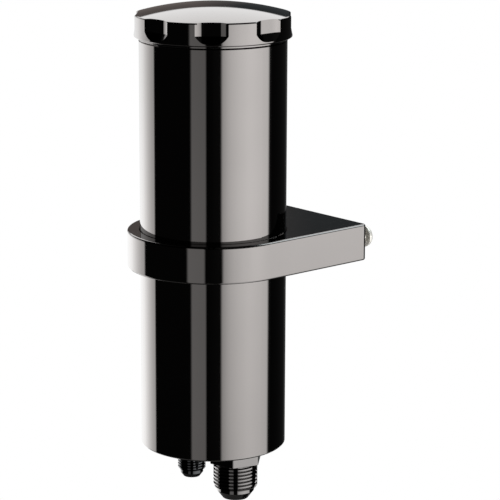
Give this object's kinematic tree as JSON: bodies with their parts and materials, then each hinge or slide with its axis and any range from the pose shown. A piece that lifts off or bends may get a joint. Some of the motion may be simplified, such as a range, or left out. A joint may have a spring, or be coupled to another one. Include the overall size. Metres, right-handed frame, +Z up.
{
  "type": "power steering reservoir",
  "caption": "Tall round fluid reservoir with a domed screw cap, held in a plate bracket, with flare fittings under its base for the supply and return hoses.",
  "frame": {"origin": "centre of the bracket's mounting face, midway between the two mounting screws", "axes": "+Y out of the mounting face, towards the panel; +Z up, along the canister's axis; +X to the side of the supply fitting"},
  "size_m": [0.0858, 0.1193, 0.249],
  "materials": {
    "gloss_black": "black anodised over a polish, mirror gloss",
    "gloss_black_cap": "black anodised over a polish, mirror gloss",
    "gloss_black_bracket": "black anodised over a polish, gloss",
    "black_anodised": "black anodised, gloss",
    "stainless": "bright polished",
    "steel_black": "black oxide",
    "bare_aluminium": "as machined",
    "seal_rubber": "smooth",
    "nylon": "smooth"
  },
  "bodies": {
    "bracket_body": {"bracket": "gloss_black_bracket", "set_screw": "steel_black", "grip_pad": "nylon", "mounting_screw_left": "stainless", "mounting_screw_right": "stainless"},
    "canister_body": {"canister": "gloss_black", "supply_fitting": "black_anodised", "supply_oring": "seal_rubber", "return_fitting": "black_anodised", "return_oring": "seal_rubber", "supply_strainer": "stainless", "strainer_ring": "steel_black", "return_standpipe": "bare_aluminium", "standpipe_plug": "bare_aluminium", "baffle_rod": "stainless", "lower_baffle": "bare_aluminium", "upper_baffle": "bare_aluminium", "lower_spacer": "bare_aluminium", "upper_spacer": "bare_aluminium", "baffle_washer": "stainless", "baffle_nut": "stainless"},
    "seal_body": {"cap_oring": "seal_rubber"},
    "cap_body": {"cap": "gloss_black_cap"}
  },
  "joints": [
    {"name": "canister_height", "type": "slide", "parent": "bracket_body", "child": "canister_body", "axis": [0, 0, 1], "range_m": [-0.09, 0.088]},
    {"name": "cap_lift", "type": "slide", "parent": "canister_body", "child": "seal_body", "axis": [0, 0, 1], "range_m": [0, 0.0075]},
    {"name": "cap_turn", "type": "hinge", "parent": "seal_body", "child": "cap_body", "pos_m": [0, -0.06551, 0.11], "axis": [0, 0, 1], "range_deg": [0, 1260]}
  ],
  "couplings": [
    {"joint": "cap_lift", "follows": "cap_turn", "m_per_rad": 0.00033688}
  ]
}
